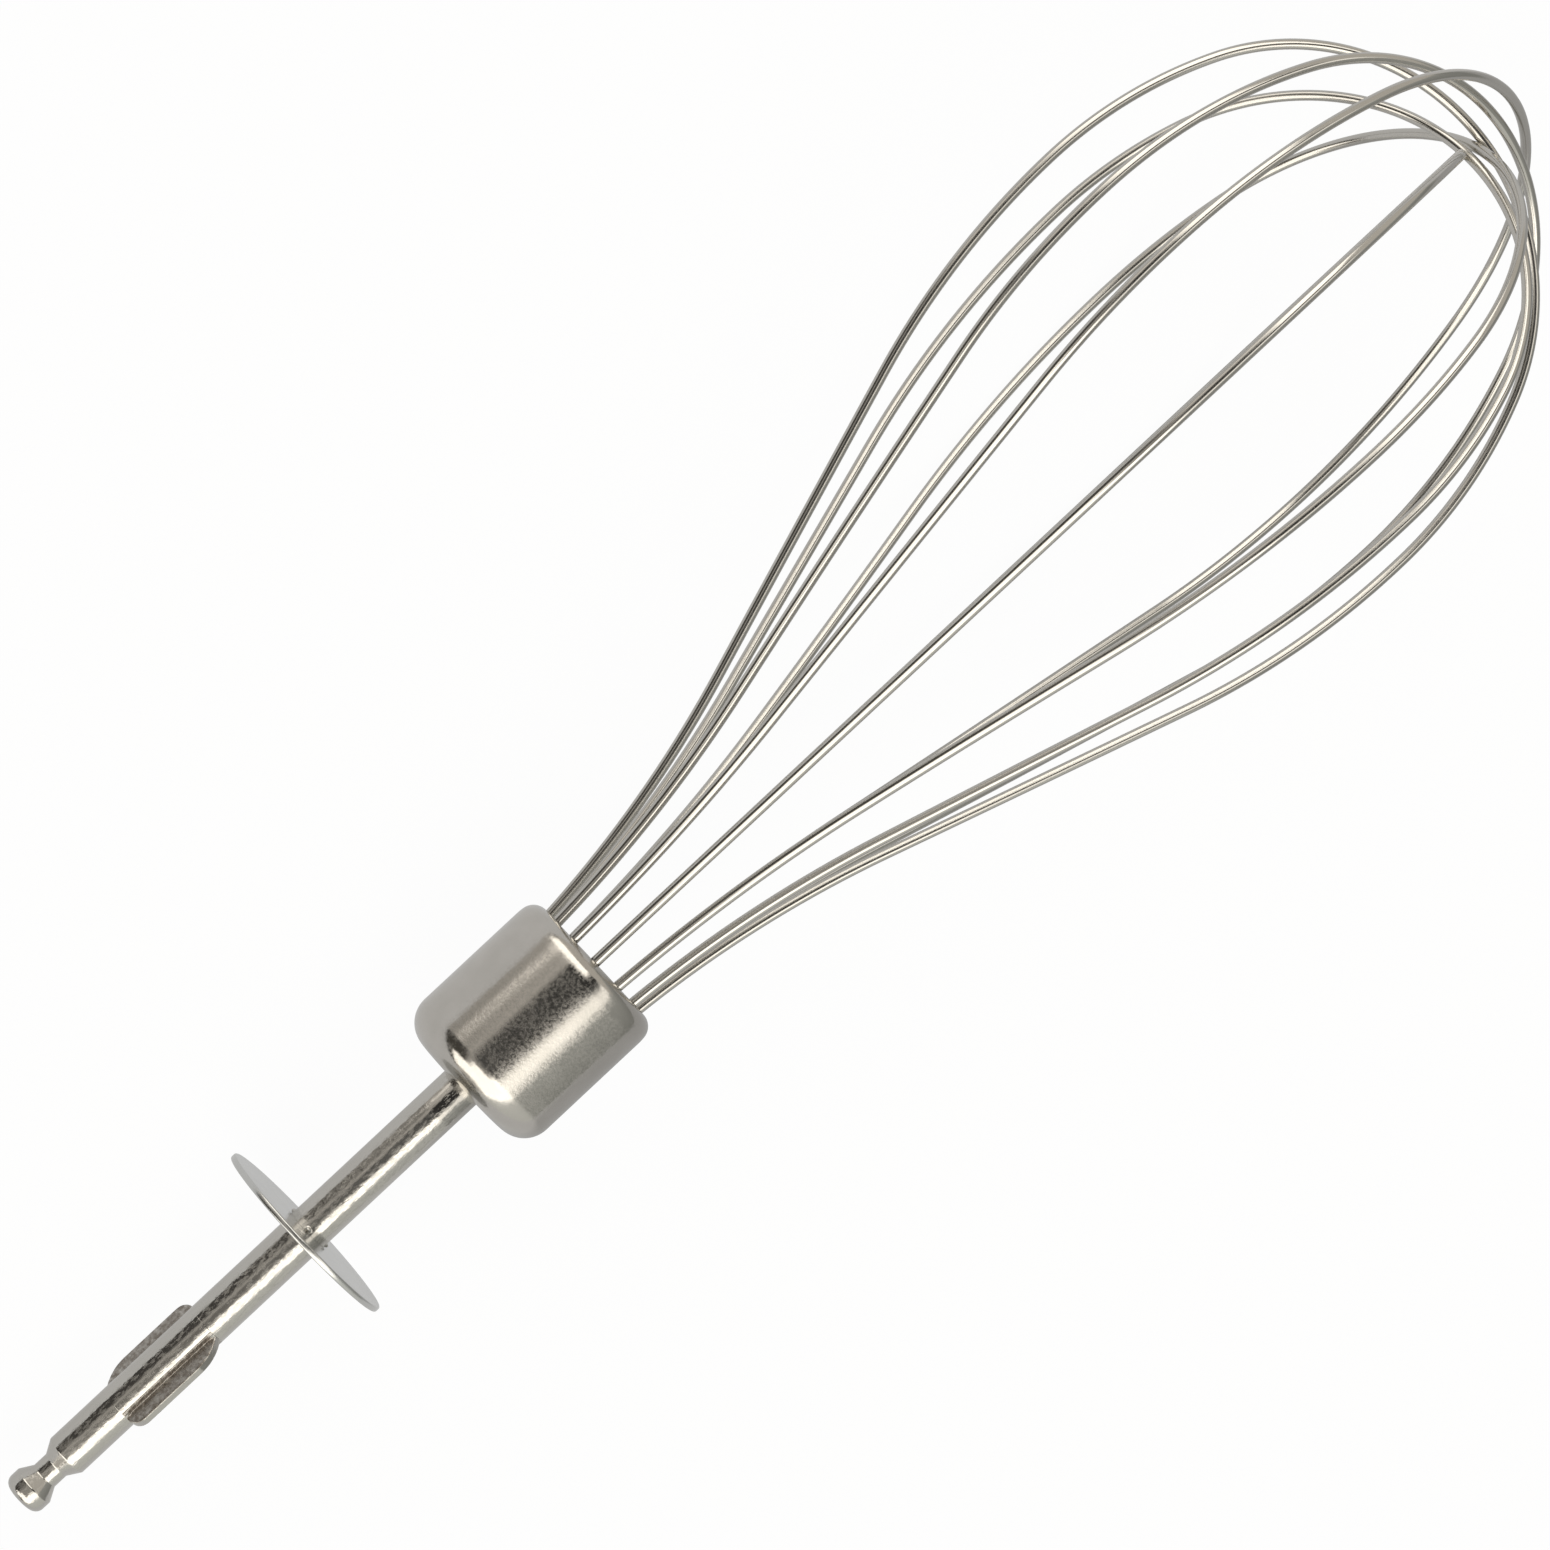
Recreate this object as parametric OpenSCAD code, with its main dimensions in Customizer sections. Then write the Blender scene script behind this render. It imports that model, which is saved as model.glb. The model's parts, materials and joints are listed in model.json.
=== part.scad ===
/* [Drive shaft] */
// Diameter of the rod that the shaft is turned from
shaft_d = 5; // [4.4:0.1:6.5]
// Distance from the end of the head to the closed end of the ferrule
shaft_reach = 64.4; // [58:0.1:100]
// Length of the shaft past the hub, inside the ferrule
shaft_tail = 1.2; // [0.5:0.1:3]
// Length of the head, from its end to its cone
head_len = 2; // [1.5:0.1:4]
// Radius that rounds the end of the head
head_round = 1; // [0.3:0.1:1.1]
// Length of the cone on each side of the neck
neck_cone = 1.5; // [0.8:0.1:2.5]
// Diameter of the neck
neck_d = 3.2; // [2:0.1:4]
// Length of the straight part of the neck
neck_len = 1.7; // [1:0.1:4]
// Depth that the head is turned below the shank, so that it passes the bearing
head_relief = 0.03; // [0.01:0.01:0.1]
// Length of the shank, which fits the bearing, behind the neck
shank_len = 7.2; // [4:0.1:7.4]

/* [Drive ears] */
// Distance from the end of the head to the middle of the ears
ear_at = 20.7; // [20.5:0.1:27]
// Length of an ear along the shaft
ear_len = 12.8; // [8:0.1:13]
// Width over both ears
ear_span = 8.3; // [7.2:0.1:11]
// Length over which one end of each ear runs out in a slow curve
ear_ramp = 3.7; // [3:0.1:4.5]
// Thickness of an ear
ear_thick = 1; // [0.6:0.1:1.6]
// Width of the rod left between the flats that are pressed beside the ears
ear_core = 4.5; // [2.4:0.1:4.8]
// Radius at the inner corners of those flats
flat_round = 1; // [0.4:0.1:2]
// Depth by which the press waists the round of the rod, halfway along the ears
ear_waist = 0.02; // [0.01:0.01:0.1]
// Turn of the ears about the shaft, from the plane of the third loop
ear_turn = -40; // [-90:1:90]

/* [Stop disc] */
// Distance from the end of the head to the near face of the disc
disc_at = 41.1; // [36:0.1:50]
// Diameter of the disc
disc_d = 22.8; // [16:0.1:30]
// Thickness of the disc
disc_thick = 0.7; // [0.5:0.1:2]
// Radius on the edge of the disc
disc_round = 0.2; // [0.05:0.05:0.2]
// Size of the four burrs raised on the shaft to hold the disc
stake_size = 0.3; // [0.2:0.05:0.6]

/* [Ferrule] */
// Diameter of the ferrule
ferrule_d = 19.3; // [18.5:0.1:26]
// Length of the ferrule, from its closed end to its mouth
ferrule_len = 19.6; // [16:0.1:30]
// Thickness of the drawn sheet
ferrule_wall = 0.6; // [0.4:0.1:1]
// Outside radius at the closed end
base_round = 3.5; // [2:0.1:4.5]
// Outside radius where the mouth is turned in
mouth_round = 1.9; // [1.2:0.1:2.5]

/* [Hub] */
// Length of the hub along the shaft
hub_len = 7.7; // [5:0.1:10]
// Thickness of the hub under the wire holes
hub_floor = 1.5; // [1:0.1:3]
// Diameter of the circle that the wire holes lie on
leg_circle_d = 13.1; // [11:0.1:13.6]

/* [Wire loops] */
// Diameter of the wire
wire_d = 1.2; // [0.8:0.1:1.5]
// Height of the outermost crown above the mouth of the ferrule
balloon_len = 137.7; // [133:0.1:150]
// Height of the widest point of a loop above the mouth of the ferrule
belly_rise = 95.5; // [90:0.1:98]
// Half width of the first loop, the outermost
half_1 = 31; // [28.5:0.1:33]
// Half width of the second loop
half_2 = 30.5; // [28.5:0.1:33]
// Half width of the third loop
half_3 = 29.6; // [28.5:0.1:33]
// Half width of the fourth loop
half_4 = 28.7; // [28.5:0.1:33]
// Half width of the fifth loop
half_5 = 28.8; // [28.5:0.1:33]
// Half width of the sixth loop, the innermost
half_6 = 29; // [28.5:0.1:33]
// Radius of the crown of a loop
crown_r = 27.5; // [24:0.1:28]
// Radius at which a leg flares out of the hub
flare_r = 136; // [110:1:160]
// Slope of the straight part of a leg, from the shaft's axis
leg_slope = 18.2; // [17:0.1:19.5]

/* [Fits] */
// Gap round the shaft in the ferrule, the hub and the disc
shaft_gap = 0.02; // [0.01:0.01:0.05]
// Gap between the hub and the wall of the ferrule
hub_gap = 0.03; // [0.02:0.01:0.1]
// Gap round a wire in its hole
hole_gap = 0.05; // [0.03:0.01:0.1]
// Gap between the legs and the mouth of the ferrule
mouth_gap = 0.25; // [0.1:0.05:0.5]
// Gap under the crowns of the two outer loops
outer_gap = 1.1; // [0.2:0.1:2]
// Gap under the other crowns, where the next loop crosses
inner_gap = 0.15; // [0.15:0.05:1]

/* [Hidden] */

// Each loop fills two opposite holes of the hub. Its slot counts hole pitches from the third loop.
loop_slot = [2, 1, 0, 4, 5, 3];
// The crowns lean on one another, which springs the loops out of true by a few degrees.
// The twist turns a belly from its holes, the sway tips a loop along the third one's plane.
loop_half = [half_1, half_2, half_3, half_4, half_5, half_6];
crown_gap = [outer_gap, outer_gap, inner_gap, inner_gap, inner_gap];
loop_twist = [1, 6.5, 8, 5, 2, 0];
loop_sway = [0.75, 0.75, -0.5, 0.1, -0.5, 0];
loop_count = len(loop_slot);
hole_pitch = 180 / loop_count;

round_fn = 96;
stake_count = 4;
wire_sides = 10;
flare_steps = 7;
run_steps = 3;
belly_steps = 6;
shoulder_steps = 7;
crown_steps = 14;

shaft_r = shaft_d / 2;
neck_r = neck_d / 2;
neck_z = head_len + neck_cone;
shoulder_z = neck_z + neck_len + neck_cone;
head_r = shaft_r - head_relief;
shank_top = shoulder_z + shank_len;
ear_top = ear_at + ear_len / 2;
ferrule_r = ferrule_d / 2;
mouth_z = shaft_reach + ferrule_len;
hub_r = ferrule_r - ferrule_wall - hub_gap;
hub_z = shaft_reach + ferrule_wall + hub_gap;
hub_top = hub_z + hub_len;
shaft_end = hub_top + shaft_tail;
hole_z = hub_z + hub_floor;
leg_foot = hole_z + hole_gap;
leg_r = leg_circle_d / 2;
wire_r = wire_d / 2;
belly_z = mouth_z + belly_rise;
mouth_leg_r = leg_r + flare_r - sqrt(pow(flare_r, 2) - pow(mouth_z - hub_top, 2));
mouth_r = mouth_leg_r + wire_r + mouth_gap;

// Height of a loop's crown: each one lies a wire and a gap under the one before.
function crown_z(i) = i == 0
    ? mouth_z + balloon_len
    : crown_z(i - 1) - wire_d - crown_gap[i - 1];

// The straight run and the belly arc have to end at the loop's widest point.
flare_out = flare_r * (1 - cos(leg_slope));
flare_up = flare_r * sin(leg_slope);
function run_len(half) = ((belly_z - hub_top - flare_up) * (1 - cos(leg_slope))
    - (half - leg_r - flare_out) * sin(leg_slope))
    / (cos(leg_slope) * (1 - cos(leg_slope)) - pow(sin(leg_slope), 2));
function belly_r(half) = (belly_z - hub_top - flare_up - run_len(half) * cos(leg_slope))
    / sin(leg_slope);
// The shoulder arc touches the belly's widest point and the crown arc.
function crown_lift(i) = crown_z(i) - crown_r - belly_z;
function shoulder_r(i) = (pow(loop_half[i], 2) + pow(crown_lift(i), 2) - pow(crown_r, 2))
    / (2 * (loop_half[i] - crown_r));
function shoulder_turn(i) = atan2(crown_lift(i), shoulder_r(i) - loop_half[i]);

// Points [radius, height] on an arc or a line, without the first one
function arc(centre, r, from, to, steps) =
    [for (k = [1:steps]) let (turn = from + (to - from) * k / steps)
        centre + r * [cos(turn), sin(turn)]];
function line(from, to, steps) = [for (k = [1:steps]) from + (to - from) * k / steps];

// Half a loop in its own plane, from the foot of the leg to the crown
function half_loop(i) =
    let (belly = belly_r(loop_half[i]), belly_centre = [loop_half[i] - belly, belly_z],
         flare_end = [leg_r + flare_out, hub_top + flare_up],
         run_end = belly_centre + belly * [cos(leg_slope), -sin(leg_slope)],
         shoulder = shoulder_r(i), shoulder_centre = [loop_half[i] - shoulder, belly_z],
         crown_centre = [0, crown_z(i) - crown_r])
    concat(
        [[leg_r, leg_foot], [leg_r, hub_top]],
        arc([leg_r + flare_r, hub_top], flare_r, 180, 180 - leg_slope, flare_steps),
        line(flare_end, run_end, run_steps),
        arc(belly_centre, belly, -leg_slope, 0, belly_steps),
        arc(shoulder_centre, shoulder, 0, shoulder_turn(i), shoulder_steps),
        arc(crown_centre, crown_r, shoulder_turn(i), 90, crown_steps));

// A point of that plane set in space, with the loop's twist and sway
function eased(t) = t * t * (3 - 2 * t);
function plane_turn(i, rise) = loop_slot[i] * hole_pitch
    + loop_twist[i] * eased(min(1, rise / (belly_z - hub_top)));
function sprung(i, side, p) =
    let (rise = max(0, p[1] - hub_top), turn = plane_turn(i, rise))
    [side * p[0] * cos(turn) + rise * sin(loop_sway[i]), side * p[0] * sin(turn), p[1]];
function loop_path(i) =
    let (half = half_loop(i), last = len(half) - 1)
    concat([for (p = half) sprung(i, 1, p)],
           [for (k = [last - 1:-1:0]) sprung(i, -1, half[k])]);

// Rest: the part lies on the edge of the stop disc and on the bellies of two neighbouring legs.
rest_feet = [sprung(5, 1, [half_6, belly_z]), sprung(3, 1, [half_4, belly_z])];
rest_roll = atan2(rest_feet[0][0] - rest_feet[1][0], rest_feet[1][1] - rest_feet[0][1]);
function down(p) = p[0] * cos(rest_roll) + p[1] * sin(rest_roll);
function across(p) = p[1] * cos(rest_roll) - p[0] * sin(rest_roll);
edge_r = disc_d / 2 - disc_round;
edge_z = disc_at + disc_round;
function lean(p) = let (drop = down(p) - edge_r, run = p[2] - edge_z)
    atan2(drop, run) + asin((wire_r - disc_round) / norm([drop, run]));
balloon = [for (i = [0:loop_count - 1]) each [for (p = loop_path(i)) if (p[2] > mouth_z) p]];
rest_pitch = max([for (p = balloon) lean(p)]);
front_x = max([for (p = balloon) down(p) * sin(rest_pitch) + p[2] * cos(rest_pitch)]) + wire_r;
back_x = head_round * (cos(rest_pitch) - 1) - (head_r - head_round) * sin(rest_pitch);
balloon_across = [for (p = balloon) across(p)];
mid_y = (max(balloon_across) + min(balloon_across)) / 2;
rest_lift = edge_r * cos(rest_pitch) - edge_z * sin(rest_pitch) + disc_round;
module at_rest()
    translate([-(front_x + back_x) / 2, -mid_y, rest_lift])
        rotate([0, 90 - rest_pitch, 0])
            rotate([0, 0, -rest_roll])
                children();

// Half section of a round body whose two edges are rounded
module round_section(r, from, to, low_round, high_round) {
    translate([0, from])
        square([r - low_round, to - from - high_round]);
    translate([0, from + low_round])
        square([r - high_round, to - from - low_round]);
    translate([0, from + low_round])
        square([r, to - from - low_round - high_round]);
    translate([r - low_round, from + low_round])
        circle(low_round, $fn = round_fn);
    translate([r - high_round, to - high_round])
        circle(high_round, $fn = round_fn);
}

module shaft_section() {
    square([head_r - head_round, head_len]);
    translate([head_r - head_round, head_round])
        circle(head_round, $fn = round_fn);
    polygon([[0, head_round], [head_r, head_round], [head_r, head_len],
             [neck_r, neck_z], [neck_r, neck_z + neck_len],
             [shaft_r, shoulder_z], [shaft_r, shank_top],
             [shaft_r - ear_waist, ear_at], [shaft_r, ear_top],
             [shaft_r, shaft_end], [0, shaft_end]]);
}

// Each ear is blunt at one end and slopes at the other, and the two are half a turn apart
module ear_outline() {
    corner = (ear_span - shaft_d) / 2;
    ramp_r = (ear_ramp * ear_ramp + corner * corner) / (2 * corner);
    square([shaft_d, ear_len], center = true);
    for (turn = [0, 180])
        rotate(turn) {
            translate([0, corner - ear_len / 2])
                square([ear_span / 2, ear_len - corner - ear_ramp]);
            translate([shaft_r, corner - ear_len / 2])
                circle(corner, $fn = round_fn);
            intersection() {
                translate([ear_span / 2 - ramp_r, ear_len / 2 - ear_ramp])
                    circle(ramp_r, $fn = round_fn);
                translate([0, ear_len / 2 - ear_ramp])
                    square([ear_span / 2, ear_ramp]);
            }
        }
}

// Half of the stamp that presses the rod flat beside an ear, rounded at its inner corners
module flat_outline() {
    translate([ear_core / 2, flat_round - ear_len / 2])
        square([shaft_d, ear_len - 2 * flat_round]);
    translate([ear_core / 2 + flat_round, -ear_len / 2])
        square([shaft_d, ear_len]);
    for (y = [-1, 1])
        translate([ear_core / 2 + flat_round, y * (ear_len / 2 - flat_round)])
            circle(flat_round, $fn = round_fn);
}

// Turned from one rod, with a head and a neck for the catch and two ears pressed out of the rod
module shaft() color("silver") at_rest() {
    difference() {
        rotate_extrude($fn = round_fn)
            shaft_section();
        translate([0, 0, ear_at])
            for (turn = [0, 180], side = [0, 1])
                rotate([90, 0, ear_turn + turn])
                    translate([0, 0, side ? ear_thick / 2 : -ear_thick / 2 - shaft_d])
                        linear_extrude(shaft_d)
                            flat_outline();
    }
    translate([0, 0, ear_at])
        rotate([90, 0, ear_turn])
            linear_extrude(ear_thick, center = true)
                ear_outline();
    for (k = [0:stake_count - 1])
        rotate([0, 0, k * 360 / stake_count])
            translate([shaft_r, 0, disc_at + disc_thick + shaft_gap + stake_size])
                sphere(stake_size, $fn = round_fn);
}

module stop_disc() color("gainsboro") at_rest()
    rotate_extrude($fn = round_fn)
        difference() {
            round_section(disc_d / 2, disc_at, disc_at + disc_thick, disc_round, disc_round);
            translate([0, disc_at - disc_thick])
                square([shaft_r + shaft_gap, 3 * disc_thick]);
        }

// Drawn from sheet as a cup, with a hole for the shaft and the mouth turned in round the legs
module ferrule() color("darkgray") at_rest()
    rotate_extrude($fn = round_fn)
        difference() {
            round_section(ferrule_r, shaft_reach, mouth_z, base_round, mouth_round);
            round_section(ferrule_r - ferrule_wall, shaft_reach + ferrule_wall,
                          mouth_z - ferrule_wall, base_round - ferrule_wall,
                          mouth_round - ferrule_wall);
            translate([0, hub_top])
                square([mouth_r, ferrule_len]);
            translate([0, shaft_reach - ferrule_wall])
                square([shaft_r + shaft_gap, ferrule_len]);
        }

// Fills the bottom of the ferrule, takes the shaft in its bore and every leg in a blind hole
module wire_hub() color("dimgray") at_rest()
    difference() {
        rotate_extrude($fn = round_fn)
            difference() {
                round_section(hub_r, hub_z, hub_top, base_round - ferrule_wall - hub_gap, hub_gap);
                translate([0, shaft_reach])
                    square([shaft_r + shaft_gap, ferrule_len]);
            }
        for (k = [0:2 * loop_count - 1])
            rotate([0, 0, k * hole_pitch])
                translate([leg_r, 0, hole_z])
                    cylinder(r = wire_r + hole_gap, h = ferrule_len, $fn = round_fn);
    }

// One spring wire swept along its loop, a ring of corners at each point of the path
module wire_loop(i) color("lightsteelblue") at_rest() {
    path = loop_path(i);
    last = len(path) - 1;
    across_plane = [-sin(loop_slot[i] * hole_pitch), cos(loop_slot[i] * hole_pitch), 0];
    corners = [for (k = [0:last])
        let (along = path[min(last, k + 1)] - path[max(0, k - 1)],
             side = cross(along, across_plane) / norm(cross(along, across_plane)),
             up = cross(side, along) / norm(along))
            for (j = [0:wire_sides - 1]) let (turn = j * 360 / wire_sides)
                path[k] + wire_r * (side * cos(turn) + up * sin(turn))];
    walls = [for (k = [0:last - 1], j = [0:wire_sides - 1])
        let (a = k * wire_sides + j, b = k * wire_sides + (j + 1) % wire_sides)
            each [[a, b, a + wire_sides], [b, b + wire_sides, a + wire_sides]]];
    foot = [for (j = [wire_sides - 1:-1:0]) j];
    end = [for (j = [0:wire_sides - 1]) last * wire_sides + j];
    polyhedron(corners, concat(walls, [foot, end]));
}

module loop_1() wire_loop(0);
module loop_2() wire_loop(1);
module loop_3() wire_loop(2);
module loop_4() wire_loop(3);
module loop_5() wire_loop(4);
module loop_6() wire_loop(5);

shaft();
stop_disc();
ferrule();
wire_hub();
loop_1();
loop_2();
loop_3();
loop_4();
loop_5();
loop_6();
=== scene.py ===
import bpy
import bmesh
import json
from math import acos, atan2, cos, degrees, pi, radians, sin, sqrt
from mathutils import Matrix, Vector


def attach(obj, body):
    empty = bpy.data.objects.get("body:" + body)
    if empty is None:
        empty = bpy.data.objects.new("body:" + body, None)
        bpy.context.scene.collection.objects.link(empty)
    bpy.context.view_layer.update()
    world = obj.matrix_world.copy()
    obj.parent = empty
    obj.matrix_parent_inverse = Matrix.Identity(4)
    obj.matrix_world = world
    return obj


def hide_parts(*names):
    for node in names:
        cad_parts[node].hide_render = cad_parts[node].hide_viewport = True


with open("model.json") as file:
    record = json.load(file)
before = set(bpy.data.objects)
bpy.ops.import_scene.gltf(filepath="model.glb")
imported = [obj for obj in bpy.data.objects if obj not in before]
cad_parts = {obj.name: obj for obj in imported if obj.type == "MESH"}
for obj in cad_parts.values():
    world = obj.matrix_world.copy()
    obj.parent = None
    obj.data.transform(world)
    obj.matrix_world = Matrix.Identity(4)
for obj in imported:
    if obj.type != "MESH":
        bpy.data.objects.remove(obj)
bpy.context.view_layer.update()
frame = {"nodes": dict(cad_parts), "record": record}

# Photographer's table and camera. The attachment lies on the edge of its stop
# disc and on two wires, and the camera looks down on it from above.
shank = frame["record"]["mounts"][0]
assert shank["name"] == "drive_shank"
SHANK_AT = 0.0103
toward_tip = -Vector(shank["axis"]).normalized()
head_end = Vector(shank["pos_m"]) - toward_tip * SHANK_AT
pitch = atan2(toward_tip.z, toward_tip.x)

HUB_TOP, BELLY, HOLE_PITCH = 72.73, 179.5, 30
LOOPS = [  # slot in the hub, twist, sway, half width and height of the crown
    dict(slot=2, twist=1.0, sway=0.75, half=31.0, crown=221.7),
    dict(slot=1, twist=6.5, sway=0.75, half=30.5, crown=219.4),
    dict(slot=0, twist=8.0, sway=-0.5, half=29.6, crown=217.1),
    dict(slot=4, twist=5.0, sway=0.1, half=28.7, crown=215.75),
    dict(slot=5, twist=2.0, sway=-0.5, half=28.8, crown=214.4),
    dict(slot=3, twist=0.0, sway=0.0, half=29.0, crown=213.05),
]


def sprung(loop, side, r, z):
    """A point of a loop's own plane, set in space as the springing wire turns it."""
    rise = max(0.0, z - HUB_TOP)
    t = min(1.0, rise / (BELLY - HUB_TOP))
    turn = radians(loop["slot"] * HOLE_PITCH + loop["twist"] * t * t * (3 - 2 * t))
    sway = rise * sin(radians(loop["sway"]))
    return Vector((side * r * cos(turn) + sway, side * r * sin(turn), z))


foot_a = sprung(LOOPS[5], 1, LOOPS[5]["half"], BELLY)
foot_b = sprung(LOOPS[3], 1, LOOPS[3]["half"], BELLY)
roll = atan2(foot_a.x - foot_b.x, foot_b.y - foot_a.y)
# from a bench frame in millimetres, Z along the shaft from its head, to where the part lies
laid = (Matrix.Translation(head_end) @ Matrix.Rotation(pi / 2 - pitch, 4, "Y")
        @ Matrix.Rotation(-roll, 4, "Z") @ Matrix.Scale(0.001, 4))

# the camera's place beside the shaft in millimetres, its turns, and its lens in pixels of the photograph
DISTANCE, SIDE_STEP, ALONG = 472.3, 1.53, 112.14
TILT, TWIST = radians(-3.46), radians(0.195)
PHOTO_PX, LENS_PX, SENSOR = 1550, 4347, 36
SHAFT_RIGHT, SHAFT_UP = 0.72901, 0.68450
up_wires, across = Vector((0, sin(TILT), cos(TILT))), Vector((1, 0, 0))
along_u = cos(TWIST) * up_wires - sin(TWIST) * across
along_v = sin(TWIST) * up_wires + cos(TWIST) * across
right = SHAFT_RIGHT * along_u + SHAFT_UP * along_v
up = SHAFT_UP * along_u - SHAFT_RIGHT * along_v
back = right.cross(up)
eye = Vector((-SIDE_STEP, -DISTANCE * cos(TILT), DISTANCE * sin(TILT) + ALONG))
turned = laid.to_3x3() @ Matrix.Scale(1000, 3)


def set_out(name, data):
    """An object with this data, put in the scene."""
    made = bpy.data.objects.new(name, data)
    bpy.context.scene.collection.objects.link(made)
    return made


lens = bpy.data.cameras.new("camera")
lens.sensor_width = SENSOR
lens.lens = SENSOR * LENS_PX / PHOTO_PX
lens.clip_start = 0.01
camera = set_out("camera", lens)
axes = Matrix([turned @ v for v in (right, up, back)]).transposed()
camera.matrix_world = Matrix.Translation(laid @ eye) @ axes.to_4x4()
bpy.context.scene.camera = camera
bpy.context.scene.view_settings.view_transform = "Standard"


class Socket:
    """A node's output, with arithmetic that adds Math nodes."""

    def __init__(self, tree, out):
        self.tree, self.out = tree, out

    def node(self, kind, settings=None, out=0, **values):
        """One node: its settings first, then its sockets by name, or by number as i0 and i1."""
        made = self.tree.nodes.new(kind)
        for name, value in (settings or {}).items():
            if name == "stops":
                ramp = made.color_ramp
                while len(ramp.elements) < len(value):
                    ramp.elements.new(1.0)
                for stop, (place, colour) in zip(ramp.elements, value):
                    stop.position, stop.color = place, (*colour, 1)
            else:
                setattr(made, name, value)
        for name, value in values.items():
            key = int(name[1:]) if name[0] == "i" and name[1:].isdigit() else name.replace("_", " ")
            target = made.inputs[key]
            if isinstance(value, Socket):
                self.tree.links.new(value.out, target)
            else:
                target.default_value = value
        return Socket(self.tree, made.outputs[out])

    def maths(self, operation, a, b=0.5, c=0.5):
        return self.node("ShaderNodeMath", {"operation": operation}, i0=a, i1=b, i2=c)

    def __add__(self, other): return self.maths("ADD", self, other)
    def __radd__(self, other): return self.maths("ADD", other, self)
    def __sub__(self, other): return self.maths("SUBTRACT", self, other)
    def __rsub__(self, other): return self.maths("SUBTRACT", other, self)
    def __mul__(self, other): return self.maths("MULTIPLY", self, other)
    def __rmul__(self, other): return self.maths("MULTIPLY", other, self)
    def __truediv__(self, other): return self.maths("DIVIDE", self, other)
    def __rtruediv__(self, other): return self.maths("DIVIDE", other, self)

    def mix(self, a, b):
        """Colour a where this value is 0, b where it is 1."""
        return self.node("ShaderNodeMix", {"data_type": "RGBA"}, out=2, i0=self, i6=a, i7=b)

    def rising(self, low, high):
        """0 up to one value, 1 from another on, and a smooth rise between them."""
        return self.node("ShaderNodeMapRange", {"interpolation_type": "SMOOTHSTEP"},
                         Value=self, i1=low, i2=high)

    def along(self, direction):
        """How far this point lies along a direction."""
        return self.node("ShaderNodeVectorMath", {"operation": "DOT_PRODUCT"}, out="Value",
                         i0=self, i1=direction)

    def noise(self, scale, detail, roughness=0.5):
        """Cloudy noise over this place."""
        return self.node("ShaderNodeTexNoise", Vector=self, Scale=scale, Detail=detail, Roughness=roughness)

    def finish(self, surface, kind="Material"):
        """Ends the tree with this shader as its surface."""
        end = self.tree.nodes.new("ShaderNodeOutput" + kind)
        self.tree.links.new(surface.out, end.inputs["Surface"])

    def bare_steel(self, tone, roughness, **bump):
        """Ends the tree as bare metal, with its grain as a bump if one is given."""
        relief = {"Normal": self.node("ShaderNodeBump", **bump)} if bump else {}
        self.finish(self.node("ShaderNodeBsdfPrincipled", Base_Color=tone, Metallic=1.0,
                              Roughness=roughness, **relief))


def new_material(name):
    """A material with an empty tree, a socket to start it and the place on the piece."""
    material = bpy.data.materials.new(name)
    material.use_nodes = True
    material.node_tree.nodes.clear()
    start = Socket(material.node_tree, None)
    return material, start, start.node("ShaderNodeTexCoord", out="Object")


# Table top, a plain white board. The camera sees it white, and the steel sees it
# with painted shade: greyer, most of all on the side where the long lamp stands.
TABLE_R, TABLE_DROP, SHADOW = 3.0, 0.0001, 0.05
MIDDLE, PER_METRE, BRIGHTEST, LAMP_SIDE, UNDER_SHAFT, SOFT = 0.56, 9.0, 0.64, 0.42, 0.2, 0.1
SHAFT_FROM, SHAFT_TO = -0.045, -0.06
table_white, s, place = new_material("table_white")
seen = s.node("ShaderNodeLightPath", out="Is Camera Ray")
mirrored = s.node("ShaderNodeLightPath", out="Is Glossy Ray")
by_shaft = s.node("ShaderNodeMapRange", Value=place.along(toward_tip), i1=SHAFT_FROM, i2=SHAFT_TO)
# painted shade for the board as the steel sees it: darker towards the long lamp's side, less dark on the
# shaft's side
darkest = LAMP_SIDE + UNDER_SHAFT * by_shaft
painted_shade = s.maths("SMOOTH_MAX", MIDDLE - PER_METRE * place.along(turned @ across), darkest, SOFT)
painted_shade = s.maths("SMOOTH_MIN", BRIGHTEST, painted_shade, SOFT)
matt = s.node("ShaderNodeBsdfDiffuse", Color=(0.8, 0.8, 0.8, 1))
white = s.node("ShaderNodeEmission", Color=(1, 1, 1, 1), Strength=seen + (1 - seen) * painted_shade)
s.finish(s.node("ShaderNodeMixShader", i0=(1 - SHADOW) * s.maths("MAXIMUM", seen, mirrored),
                i1=matt, i2=white))
top = bpy.data.meshes.new("table")
edit = bmesh.new()
bmesh.ops.create_circle(edit, cap_ends=True, radius=TABLE_R, segments=64)
edit.to_mesh(top)
edit.free()
top.materials.append(table_white)
table = set_out("table", top)
table.location.z = -TABLE_DROP

# The room over the table: one long cream lamp beside the shaft, two short ones
# across its ends, grey walls, and the dark of the camera and its stand.
room = bpy.data.worlds.new("room")
bpy.context.scene.world = room
room.use_nodes = True
room.node_tree.nodes.clear()
s = Socket(room.node_tree, None)
sky = s.node("ShaderNodeTexCoord", out="Generated")


def between(angle, low, high, soft):
    """1 from one angle to another, in degrees, with soft edges."""
    fall = angle.rising(radians(high - soft), radians(high + soft))
    return angle.rising(radians(low - soft), radians(low + soft)) * (1 - fall)


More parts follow.
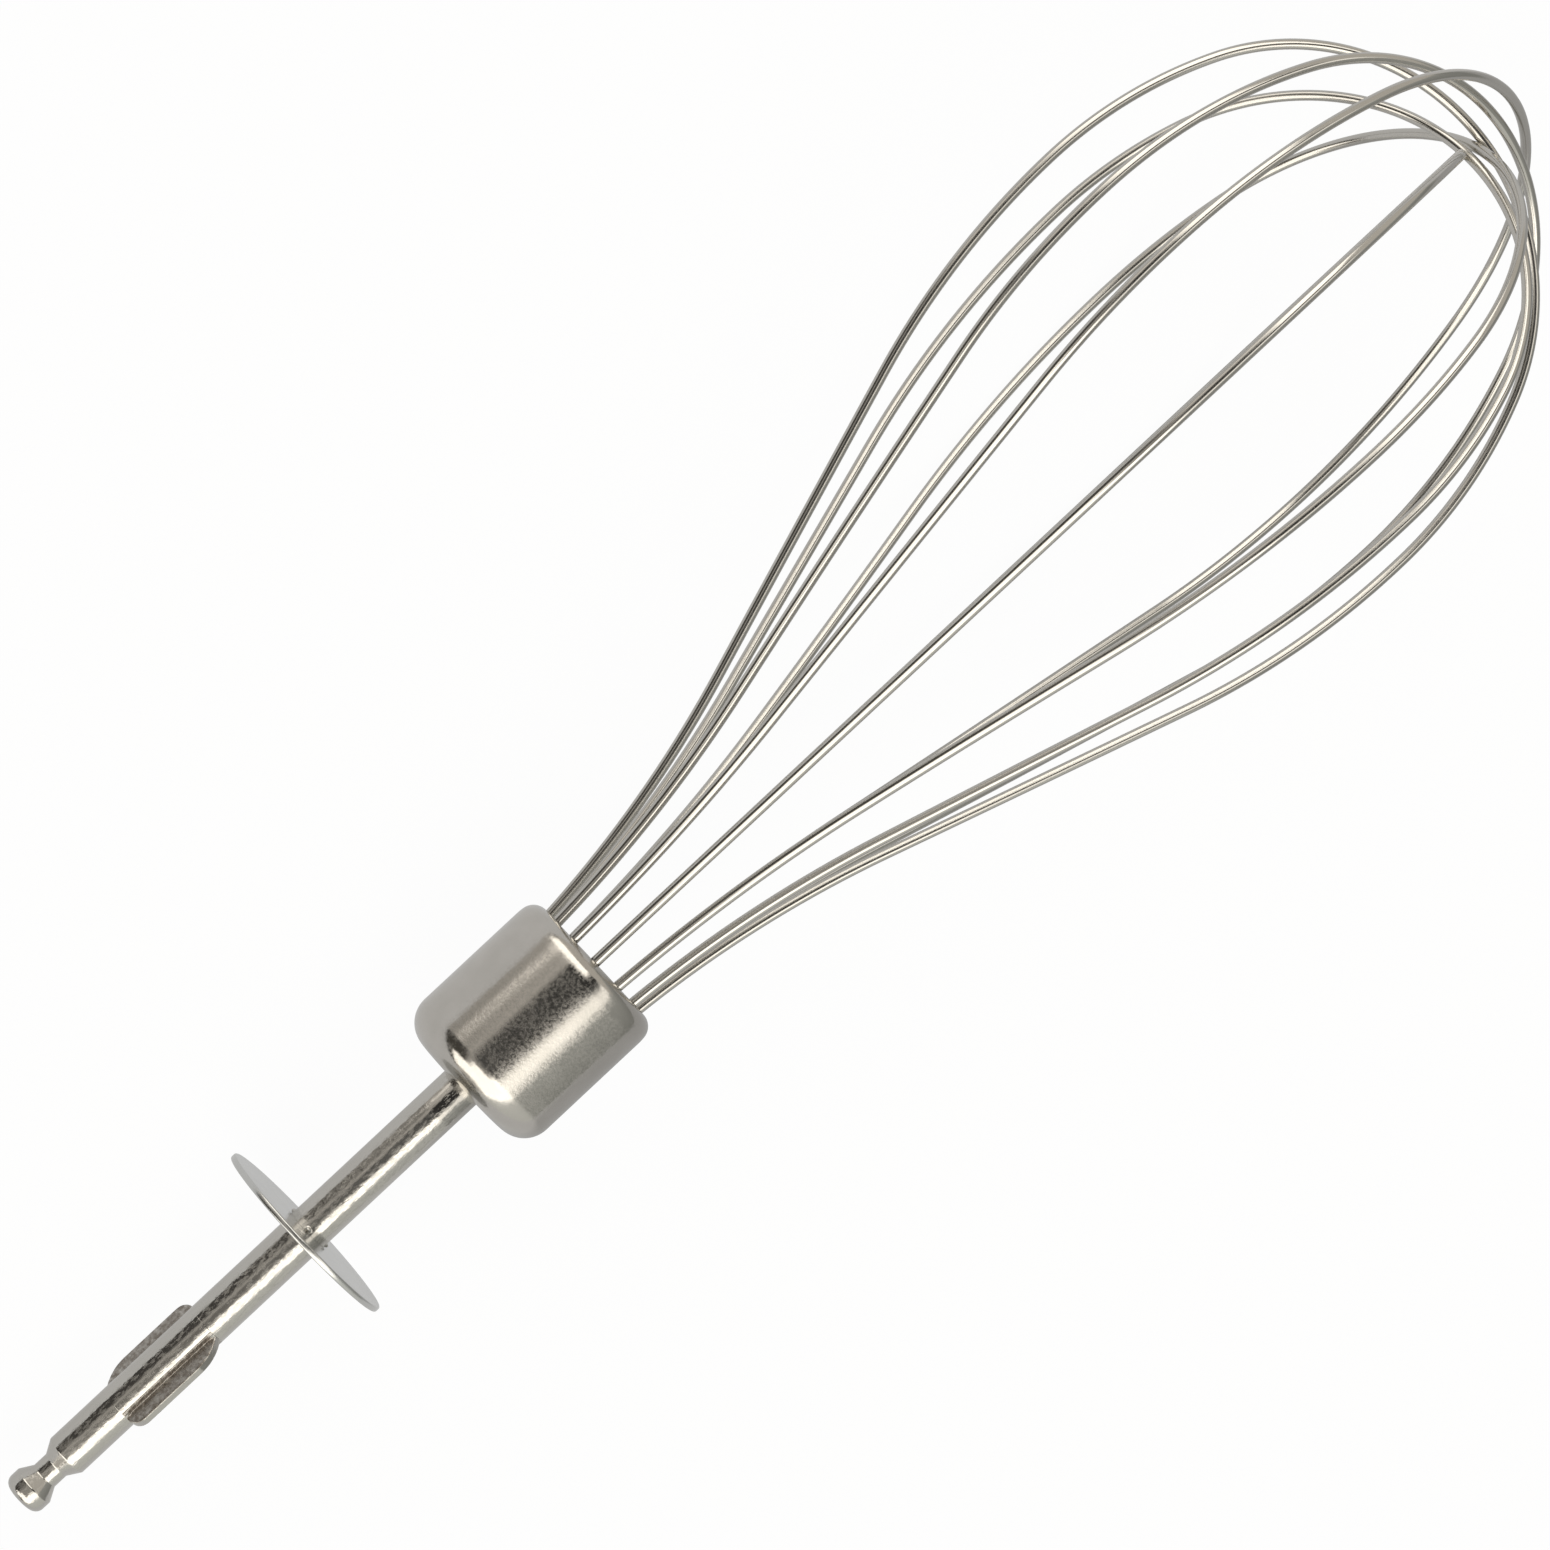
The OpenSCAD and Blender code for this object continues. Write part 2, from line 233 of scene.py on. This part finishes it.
def walls(swing, stops):
    """Brightness round the shaft by the angle from straight overhead, in degrees."""
    return s.node("ShaderNodeValToRGB", {"stops": [
        (degree / 360 + 0.5, tuple(level / LAMP * tint for tint in colour))
        for degree, level, colour in stops]}, Fac=swing / (2 * pi) + 0.5)


LAMP = 2.3
WARM, PLAIN, COOL, CREAM = (1, 0.95, 0.88), (1, 0.98, 0.94), (0.97, 0.98, 0.93), (1, 0.965, 0.9)
overhead = turned @ Vector((0, -1, 0))
swing = s.maths("ARCTAN2", sky.along((turned @ across).normalized()), sky.along(overhead.normalized()))
tilt = s.maths("ARCSINE", sky.along(toward_tip.normalized()))
by_tip = walls(swing, [
    (-180, 0.5, PLAIN), (-110, 0.53, PLAIN), (-92, 0.62, WARM), (-84, 0.6, WARM), (-76, 0.16, PLAIN),
    (-70, 0.5, WARM), (-60, 0.46, WARM), (-53, 1.0, WARM), (-46, 1.0, WARM), (-40, 0.56, WARM),
    (-24, 0.56, WARM), (-18, 0.04, PLAIN), (19, 0.04, PLAIN), (26, 0.2, PLAIN), (35, 1.4, CREAM),
    (46, 1.4, CREAM), (52, 0.48, COOL), (64, 0.39, COOL), (80, 0.35, COOL), (110, 0.28, COOL),
    (180, 0.46, COOL)])
by_disc = walls(swing, [
    (-180, 0.54, PLAIN), (-100, 0.56, COOL), (-80, 0.57, COOL), (-72, 0.3, WARM), (-33, 0.27, WARM),
    (-23, 0.52, WARM), (-18, 0.48, WARM), (-12, 0.15, PLAIN), (13, 0.15, PLAIN), (18, 0.26, WARM),
    (24, 0.4, WARM), (28, LAMP, CREAM), (56, LAMP, CREAM), (60, 0.66, COOL), (80, 0.62, COOL),
    (110, 0.6, COOL), (180, 0.6, COOL)])
by_head = walls(swing, [
    (-180, 0.5, PLAIN), (-100, 0.54, COOL), (-77, 0.52, COOL), (-71, 0.07, WARM), (-34, 0.07, WARM),
    (-27, 0.24, WARM), (-21, 0.44, WARM), (-16, 0.42, WARM), (-10, 0.21, WARM), (4, 0.22, WARM),
    (11, 0.34, WARM), (16, 0.55, WARM), (20, LAMP, CREAM), (57, LAMP, CREAM),
    (61, 0.74, COOL), (80, 0.7, COOL), (110, 0.66, COOL), (180, 0.64, COOL)])
cream, dark = (0.9, 0.867, 0.806, 1), (0.03, 0.028, 0.024, 1)
grey, dusk = (0.26, 0.247, 0.225, 1), (0.18, 0.172, 0.158, 1)
HEAD_SIDE, DISC_SIDE, EDGE = -5.0, -2.2, 0.2
light = between(tilt, -95, DISC_SIDE, EDGE).mix(by_tip, by_disc)
light = between(tilt, -95, HEAD_SIDE, EDGE).mix(light, by_head)
PATCHES = [  # tilt from, to and softness, swing from, to and softness, colour; the last hangs foremost
    (-12, -8.8, 0.5, -12, 14, 3, dusk),
    (-40, -12, 3, -82, -26, 5, dark),
    (-38, -17, 4, -14, 46, 5, cream),
    (-64, -36, 3, -50, 46, 4, cream),
    (-76, -66, 2, -80, 60, 5, grey),
    (-110, -76, 2, -80, 60, 5, dark),
    (12, 41, 2, -66, 6, 5, cream),
    (43, 95, 3, -80, 60, 5, grey),
]
for tilt_from, tilt_to, tilt_soft, swing_from, swing_to, swing_soft, colour in PATCHES:
    patch = between(tilt, tilt_from, tilt_to, tilt_soft) * between(swing, swing_from, swing_to, swing_soft)
    light = patch.mix(light, colour)
seen = s.node("ShaderNodeLightPath", out="Is Camera Ray")
light = seen.mix(light, (1 / LAMP, 1 / LAMP, 1 / LAMP, 1))
s.finish(s.node("ShaderNodeBackground", Color=light, Strength=LAMP), "World")


# Drive shaft, turned from a stainless rod, with a rounded head and a neck for the
# catch. Stamps press two ears out of it, and four burrs beside the disc hold it.
ROD_R, HEAD_R, HEAD_ROUND, NECK_R = 2.5, 2.47, 1.0, 1.6
HEAD_TO, NECK_FROM, NECK_TO, ROD_FROM, SHAFT_END, END_BEVEL = 2.0, 3.5, 5.2, 6.7, 73.93, 0.2
EAR_AT, EAR_HALF, EAR_REACH, EAR_CORNER, EAR_RAMP = 20.7, 6.4, 4.15, 1.65, 3.7
PLATE, CORE, STAMP_ROUND, EAR_TURN = 0.5, 2.25, 1.0, radians(-40)
BURRS_AT, BURR = 42.12, 0.3
EDGE_EASE, HOLD, EAR_ROWS = 0.07, 0.05, 46


def bend(r, z, size, start, stop, steps):
    """[radius, height] along an arc about a centre, in degrees from straight outwards."""
    return [(r + size * cos(radians(start + (stop - start) * k / steps)),
             z + size * sin(radians(start + (stop - start) * k / steps))) for k in range(steps + 1)]


def rings(name, profile, turns, radius=None, closed=False):
    """A body of rings about the shaft's axis, closed by a point at each end or onto itself."""
    points, faces, first = [], [], []
    for r, z in profile:
        first.append(len(points))
        for turn in turns if r > 0 else [0.0]:
            reach = radius(r, z, turn) if radius and r > 0 else r
            points.append(Vector((reach * cos(turn), reach * sin(turn), z)))
    last, count = len(profile) - 1, len(turns)
    for low, high in [(k, k + 1) for k in range(last)] + [(last, 0)] * closed:
        a, b = first[low], first[high]
        for k in range(count):
            n = (k + 1) % count
            if profile[low][0] == 0:
                faces.append((a, b + n, b + k))
            elif profile[high][0] == 0:
                faces.append((a + k, a + n, b))
            else:
                faces.append((a + k, a + n, b + n, b + k))
    mesh = bpy.data.meshes.new(name)
    mesh.from_pydata([laid @ p for p in points], [], faces)
    edit = bmesh.new()
    edit.from_mesh(mesh)
    bmesh.ops.recalc_face_normals(edit, faces=edit.faces)
    edit.to_mesh(mesh)
    edit.free()
    mesh.shade_smooth()
    return set_out(name, mesh), points


def eased(corners, size, steps=3):
    """The same outline with each of its inner corners cut back by a small curve."""
    line = [corners[0]]
    for before, corner, after in zip(corners, corners[1:], corners[2:]):
        before, corner, after = Vector(before), Vector(corner), Vector(after)
        back, on = before - corner, after - corner
        cut = min(size, back.length / 5, on.length / 5)
        a, b = corner + back.normalized() * cut, corner + on.normalized() * cut
        line.append(tuple(a + back.normalized() * cut))
        for k in range(steps + 1):
            t = k / steps
            line.append(tuple(a * (1 - t) ** 2 + corner * 2 * t * (1 - t) + b * t * t))
        line.append(tuple(b + on.normalized() * cut))
    return line + [corners[-1]]


def lesser(a, b, round_by):
    """The smaller of two reaches, with their corner rounded."""
    return (a + b - sqrt((a - b) ** 2 + round_by)) / 2


def pressed_radius(r, z, turn):
    """How far the pressed rod reaches at a height and an angle about its axis."""
    lean = abs((turn - EAR_TURN + pi / 2) % pi - pi / 2)
    outward, sideways, off = max(cos(lean), 1e-4), max(sin(lean), 1e-4), abs(z - EAR_AT)
    reach = r
    if off < EAR_HALF:
        inner = off - (EAR_HALF - STAMP_ROUND)
        wall = CORE + (STAMP_ROUND - sqrt(STAMP_ROUND ** 2 - inner ** 2) if inner > 0 else 0)
        sloping = (z > EAR_AT) == (cos(turn - EAR_TURN) > 0)
        run = EAR_RAMP if sloping else EAR_CORNER
        bow = (run ** 2 + EAR_CORNER ** 2) / (2 * EAR_CORNER)
        outer = max(0.0, off - (EAR_HALF - run))
        edge = EAR_REACH - bow + sqrt(max(0.0, bow ** 2 - outer ** 2))
        core = lesser(r, wall / outward, 0.004)
        ear = lesser(PLATE / sideways, edge / outward, 0.016)
        reach = -lesser(-core, -ear, 0.01)
    for k in range(4):
        apart = abs((turn - k * pi / 2 + pi) % (2 * pi) - pi) * ROD_R
        if abs(z - BURRS_AT) < 2 * BURR and apart < 2 * BURR:
            reach = max(reach, ROD_R + BURR * (1 - (apart ** 2 + (z - BURRS_AT) ** 2) / BURR ** 2))
    return reach


head = bend(HEAD_R - HEAD_ROUND, HEAD_ROUND, HEAD_ROUND, -82.5, -7.5, 10)
outline = [(0, 0), (HEAD_R - HEAD_ROUND - 0.04, 0), *head, (HEAD_R, HEAD_ROUND), (HEAD_R, HEAD_TO),
           (NECK_R, NECK_FROM), (NECK_R, NECK_TO), (ROD_R, ROD_FROM), (ROD_R, 10)]
# rows of points, closest together at the ends of the ears
ears = sorted(EAR_AT + side * (EAR_HALF - (EAR_HALF - 0.1) * (1 - cos(pi / 2 * k / EAR_ROWS)))
              for side, count in ((-1, EAR_ROWS + 1), (1, EAR_ROWS)) for k in range(count))
burrs = [BURRS_AT - 1.4 * BURR + 0.07 * k for k in range(13)]
heights = [ears[0] - HOLD, *ears, ears[-1] + HOLD, 34, 41, *burrs, 50, 60, SHAFT_END - END_BEVEL]
profile = (eased(outline, EDGE_EASE) + [(ROD_R, z) for z in heights]
           + [(ROD_R - END_BEVEL, SHAFT_END), (0, SHAFT_END)])
# degrees from the middle of an ear, closest together where its faces turn
quarter = [0, 2, 3.8, 5.2, 6.1, 6.9, 7.7, 8.6, 9.6, 10.6, 11.4, 12, 12.6, 13.3, 14.4, 16, 18, 20, 22, 23.6,
           24.7, 25.5, 26.3, 27.4, 29, 31, 34, 37, 40, 44, 48, 52, 56, 60, 64, 68, 72, 76, 80, 85]
turns = sorted(EAR_TURN + radians(half_turn + side * a) for half_turn, side, spread in
               ((0, 1, quarter), (180, -1, quarter[1:]), (180, 1, quarter), (360, -1, quarter[1:]))
               for a in spread)
shaft, points = rings("drive_shaft", profile, turns, pressed_radius)
mark = shaft.data.attributes.new("pressed", "FLOAT", "POINT")
ear_side = Vector((cos(EAR_TURN), sin(EAR_TURN), 0))
for vertex, p in zip(mark.data, points):
    out, off = abs(p.dot(ear_side)), abs(p.x * ear_side.y - p.y * ear_side.x)
    stamped = abs(p.z - EAR_AT) < EAR_HALF - 0.02 and Vector((p.x, p.y)).length > 1.4
    on_face = abs(off - PLATE) < 0.06 or abs(out - CORE) < 0.08
    vertex.value = float(stamped and on_face and out < EAR_REACH - 0.05)

turned_steel, s, place = new_material("turned_steel")
drawn_out = s.node("ShaderNodeVectorMath", {"operation": "SCALE"}, i0=tuple(-toward_tip),
                   Scale=0.7 * place.along(toward_tip))
grain_place = s.node("ShaderNodeVectorMath", {"operation": "ADD"}, i0=place, i1=drawn_out)
pressed = s.node("ShaderNodeAttribute", {"attribute_name": "pressed"}, out="Fac")
speck = grain_place.noise(4000.0, 2.0, 0.6)
patch = grain_place.noise(420.0, 3.0)
pits = (speck + 0.25 * patch).rising(0.59, 0.7)
crush = place.noise(1700.0, 4.0, 0.65)
tone = patch.mix((0.56, 0.54, 0.50, 1), (0.63, 0.61, 0.57, 1))
tone = (pressed * s.maths("MINIMUM", 1.0, 3.2 * crush - 0.9)).mix(tone, (0.27, 0.24, 0.21, 1))
s.bare_steel(tone, 0.07 + 0.17 * pits * (1 - pressed) + 0.23 * pressed,
             Height=speck * (1 - pressed) + 6.0 * crush * pressed, Strength=0.7, Distance=0.00002)
shaft.data.materials.append(turned_steel)
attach(shaft, "root")
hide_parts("shaft")


# Stop disc, a thin washer stamped from stainless sheet and tumbled bright. It is
# pushed on the shaft, held by the burrs, and stops the shaft at its depth.
DISC_AT, DISC_THICK, DISC_R, BORE_R, DISC_ROUND = 41.1, 0.7, 11.4, 2.52, 0.2
far_face = DISC_AT + DISC_THICK
rim = (bend(DISC_R - DISC_ROUND, DISC_AT + DISC_ROUND, DISC_ROUND, -90, 0, 6)
       + bend(DISC_R - DISC_ROUND, far_face - DISC_ROUND, DISC_ROUND, 0, 90, 6))
face = [BORE_R + 0.04, 3.2, 4.5, 6, 7.5, 9, 10.2, 10.9]
profile = ([(r, DISC_AT) for r in face] + rim + [(r, far_face) for r in face[::-1]]
           + [(BORE_R, far_face - 0.06), (BORE_R, DISC_AT + 0.06)])
disc = rings("stop_washer", profile, [2 * pi * k / 240 for k in range(240)], closed=True)[0]
stamped_steel, s, place = new_material("stamped_steel")
cloud, fine = place.noise(260.0, 3.0), place.noise(2600.0, 2.0)
tone = cloud.mix((0.60, 0.60, 0.58, 1), (0.68, 0.68, 0.66, 1))
s.bare_steel(tone, 0.14 + 0.12 * cloud, Height=fine + 2.0 * cloud, Strength=0.3, Distance=0.00001)
disc.data.materials.append(stamped_steel)
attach(disc, "root")
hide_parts("stop_disc")


# Hub, a steel plug in the bottom of the ferrule. The shaft is pressed through it
# and the ends of the wires stand in its twelve holes. It is seen only from the tip.
hub_steel, s, place = new_material("hub_steel")
grain = place.noise(1500.0, 3.0)
tone = grain.mix((0.30, 0.29, 0.27, 1), (0.46, 0.44, 0.41, 1))
s.bare_steel(tone, 0.3 + 0.15 * grain, Height=grain, Strength=0.4, Distance=0.00003)
hub = frame["nodes"]["wire_hub"]
hub.data.materials.clear()
hub.data.materials.append(hub_steel)


# Balloon of six spring wires, drawn and polished stainless steel, outermost
# first. Each is one wire whose two ends are sprung into opposite holes of the hub.
WIRE_R, LEG_R, FLARE_R, CROWN_R, LEG_FOOT = 0.6, 6.55, 136.0, 27.5, 66.58
WIRE_SIDES, SLOPE = 20, radians(18.2)


def half_loop(loop, steps=(24, 10, 24, 24, 48)):
    """[radius, height] along half a loop, from the foot of a leg to the crown."""
    out_by, up_by = FLARE_R * (1 - cos(SLOPE)), FLARE_R * sin(SLOPE)
    rest, wide = BELLY - HUB_TOP - up_by, loop["half"] - LEG_R - out_by
    run = ((rest * (1 - cos(SLOPE)) - wide * sin(SLOPE))
           / (cos(SLOPE) * (1 - cos(SLOPE)) - sin(SLOPE) ** 2))
    belly = (rest - run * cos(SLOPE)) / sin(SLOPE)
    lift = loop["crown"] - CROWN_R - BELLY
    shoulder = (loop["half"] ** 2 + lift ** 2 - CROWN_R ** 2) / (2 * (loop["half"] - CROWN_R))
    turn = atan2(lift, shoulder - loop["half"])
    flare_n, run_n, belly_n, shoulder_n, crown_n = steps
    points = [(LEG_R, LEG_FOOT), (LEG_R, HUB_TOP)]
    points += [(LEG_R + FLARE_R * (1 - cos(SLOPE * k / flare_n)),
                HUB_TOP + FLARE_R * sin(SLOPE * k / flare_n)) for k in range(1, flare_n + 1)]
    last = points[-1]
    points += [(last[0] + run * sin(SLOPE) * k / run_n, last[1] + run * cos(SLOPE) * k / run_n)
               for k in range(1, run_n + 1)]
    arcs = [(loop["half"] - belly, BELLY, belly, -SLOPE, 0, belly_n),
            (loop["half"] - shoulder, BELLY, shoulder, 0, turn, shoulder_n),
            (0, loop["crown"] - CROWN_R, CROWN_R, turn, pi / 2, crown_n)]
    for x, z, r, begin, stop, count in arcs:
        points += [(x + r * cos(begin + (stop - begin) * k / count),
                    z + r * sin(begin + (stop - begin) * k / count)) for k in range(1, count + 1)]
    return points


sweep = bpy.data.node_groups.new("drawn_wire", "GeometryNodeTree")
sweep.interface.new_socket("Geometry", in_out="INPUT", socket_type="NodeSocketGeometry")
for name, kind in (("Radius", "Float"), ("Sides", "Int"), ("Metal", "Material")):
    sweep.interface.new_socket(name, in_out="INPUT", socket_type="NodeSocket" + kind)
sweep.interface.new_socket("Geometry", in_out="OUTPUT", socket_type="NodeSocketGeometry")
given = sweep.nodes.new("NodeGroupInput")
line = sweep.nodes.new("GeometryNodeMeshToCurve")
ring = sweep.nodes.new("GeometryNodeCurvePrimitiveCircle")
tube = sweep.nodes.new("GeometryNodeCurveToMesh")
smooth = sweep.nodes.new("GeometryNodeSetShadeSmooth")
real = sweep.nodes.new("GeometryNodeRealizeInstances")
metal = sweep.nodes.new("GeometryNodeSetMaterial")
done = sweep.nodes.new("NodeGroupOutput")
tube.inputs["Fill Caps"].default_value = True
for a, b in ((given.outputs["Geometry"], line.inputs["Mesh"]),
             (given.outputs["Radius"], ring.inputs["Radius"]),
             (given.outputs["Sides"], ring.inputs["Resolution"]),
             (line.outputs[0], tube.inputs["Curve"]), (ring.outputs[0], tube.inputs["Profile Curve"]),
             (tube.outputs[0], smooth.inputs["Geometry"]), (smooth.outputs[0], real.inputs[0]),
             (real.outputs[0], metal.inputs["Geometry"]),
             (given.outputs["Metal"], metal.inputs["Material"]), (metal.outputs[0], done.inputs["Geometry"])):
    sweep.links.new(a, b)

wire_steel, s, place = new_material("wire_steel")
tone = place.noise(60.0, 3.0).mix((0.55, 0.53, 0.49, 1), (0.64, 0.62, 0.58, 1))
s.bare_steel(tone, 0.1 + 0.1 * place.noise(900.0, 2.0))

ids = {i.name: i.identifier for i in sweep.interface.items_tree if i.in_out == "INPUT"}
for number, loop in enumerate(LOOPS, 1):
    half = half_loop(loop)
    path = [sprung(loop, 1, r, z) for r, z in half] + [sprung(loop, -1, r, z) for r, z in half[-2::-1]]
    line = bpy.data.meshes.new("path")
    line.from_pydata([laid @ p for p in path], [(k, k + 1) for k in range(len(path) - 1)], [])
    drawn = set_out("path", line)
    modifier = drawn.modifiers.new("sweep", "NODES")
    modifier.node_group = sweep
    modifier[ids["Radius"]] = WIRE_R / 1000
    modifier[ids["Sides"]] = WIRE_SIDES
    modifier[ids["Metal"]] = wire_steel
    solid = bpy.data.meshes.new_from_object(drawn.evaluated_get(bpy.context.evaluated_depsgraph_get()))
    drawn.modifiers.clear()
    bpy.data.objects.remove(drawn)
    wire = set_out("wire_%d" % number, solid)
    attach(wire, "root")
    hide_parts("loop_%d" % number)


# Ferrule, a cup drawn from stainless sheet and tumbled to a satin finish. The shaft
# comes through its closed end, and its mouth is turned in round the wires.
FERRULE_R, WALL, CLOSED_AT, MOUTH_AT = 9.65, 0.6, 64.4, 84.0
BASE_ROUND, MOUTH_ROUND, MOUTH_R, SHAFT_HOLE = 3.5, 1.9, 7.868, 2.52
BOW, BOW_FROM, BOW_STEP, LIP_IN, CUT_EDGE, BEVEL = 0.062, 0.68, 0.229, 0.045, 0.05, 0.04
lip_reach = MOUTH_R + CUT_EDGE - FERRULE_R + MOUTH_ROUND
lip, inner_lip = degrees(acos(lip_reach / MOUTH_ROUND)), degrees(acos(lip_reach / (MOUTH_ROUND - WALL)))
base, mouth = CLOSED_AT + BASE_ROUND, MOUTH_AT - MOUTH_ROUND
profile = ([(SHAFT_HOLE + BEVEL, CLOSED_AT), (3.5, CLOSED_AT), (4.8, CLOSED_AT)]
           + bend(FERRULE_R - BASE_ROUND, base, BASE_ROUND, -90, 0, 24)
           + [(FERRULE_R, base + 0.2), (FERRULE_R, (base + mouth) / 2), (FERRULE_R, mouth - 1)]
           + [(FERRULE_R - BOW * (k / 4) ** 2, mouth - BOW_FROM + BOW_STEP * k) for k in range(4)]
           + bend(FERRULE_R - LIP_IN - MOUTH_ROUND, mouth, MOUTH_ROUND, 8, lip, 18)
           + [(MOUTH_R, MOUTH_AT - CUT_EDGE), (MOUTH_R, MOUTH_AT - WALL + CUT_EDGE)]
           + bend(FERRULE_R - MOUTH_ROUND, mouth, MOUTH_ROUND - WALL, inner_lip, 0, 10)
           + bend(FERRULE_R - BASE_ROUND, base, BASE_ROUND - WALL, 0, -90, 10)
           + [(SHAFT_HOLE + BEVEL, CLOSED_AT + WALL), (SHAFT_HOLE, CLOSED_AT + WALL - CUT_EDGE),
              (SHAFT_HOLE, CLOSED_AT + CUT_EDGE)])
ferrule = rings("drawn_ferrule", profile, [2 * pi * k / 200 for k in range(200)], closed=True)[0]
satin_steel, s, place = new_material("satin_steel")
grain, patch = place.noise(2900.0, 3.0, 0.6), place.noise(300.0, 4.0)
tone = patch.mix((0.52, 0.50, 0.455, 1), (0.64, 0.61, 0.57, 1))
s.bare_steel(tone, 0.11 + 0.1 * (grain + 0.35 * patch).rising(0.56, 0.78),
             Height=grain * (0.5 + patch), Strength=0.32, Distance=0.00002)
ferrule.data.materials.append(satin_steel)
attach(ferrule, "root")
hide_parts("ferrule")
